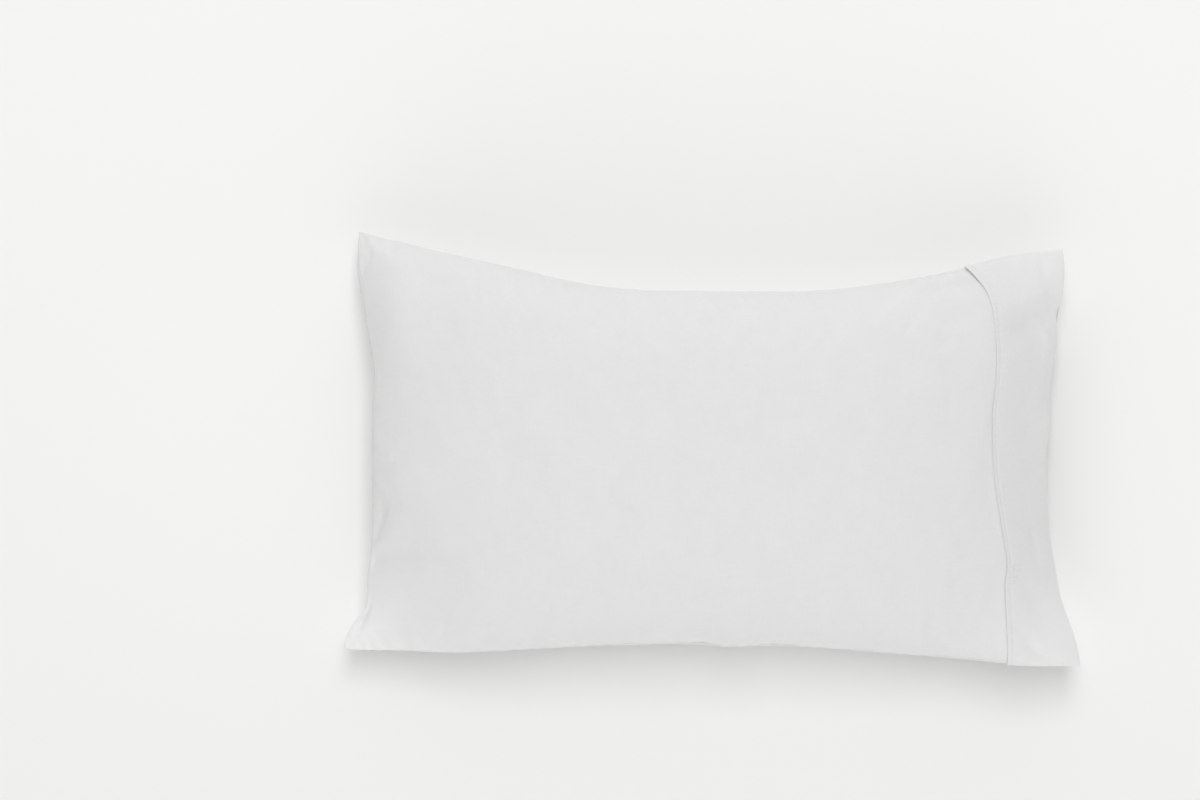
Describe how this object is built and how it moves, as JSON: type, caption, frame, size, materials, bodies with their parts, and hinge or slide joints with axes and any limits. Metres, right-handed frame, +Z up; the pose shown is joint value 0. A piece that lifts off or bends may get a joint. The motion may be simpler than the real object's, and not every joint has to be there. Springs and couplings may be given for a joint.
{
  "type": "pillowcase",
  "caption": "Filled white cotton pillowcase lying on its back, crowned and drawn in at its long sides, with a lapped-on cuff round its open mouth.",
  "frame": {"origin": "under the middle of the case's bounding box, on the surface it lies on", "axes": "+X from the closed end to the open mouth, +Y across the case, +Z up out of its upper face"},
  "size_m": [0.8114, 0.482, 0.1802],
  "materials": {
    "case_cotton": "plain-woven white cotton, matt with a faint sheen",
    "cuff_cotton": "the same cotton, two layers folded and topstitched"
  },
  "bodies": {
    "root": {"case_body": "case_cotton", "cuff": "cuff_cotton"}
  },
  "joints": []
}
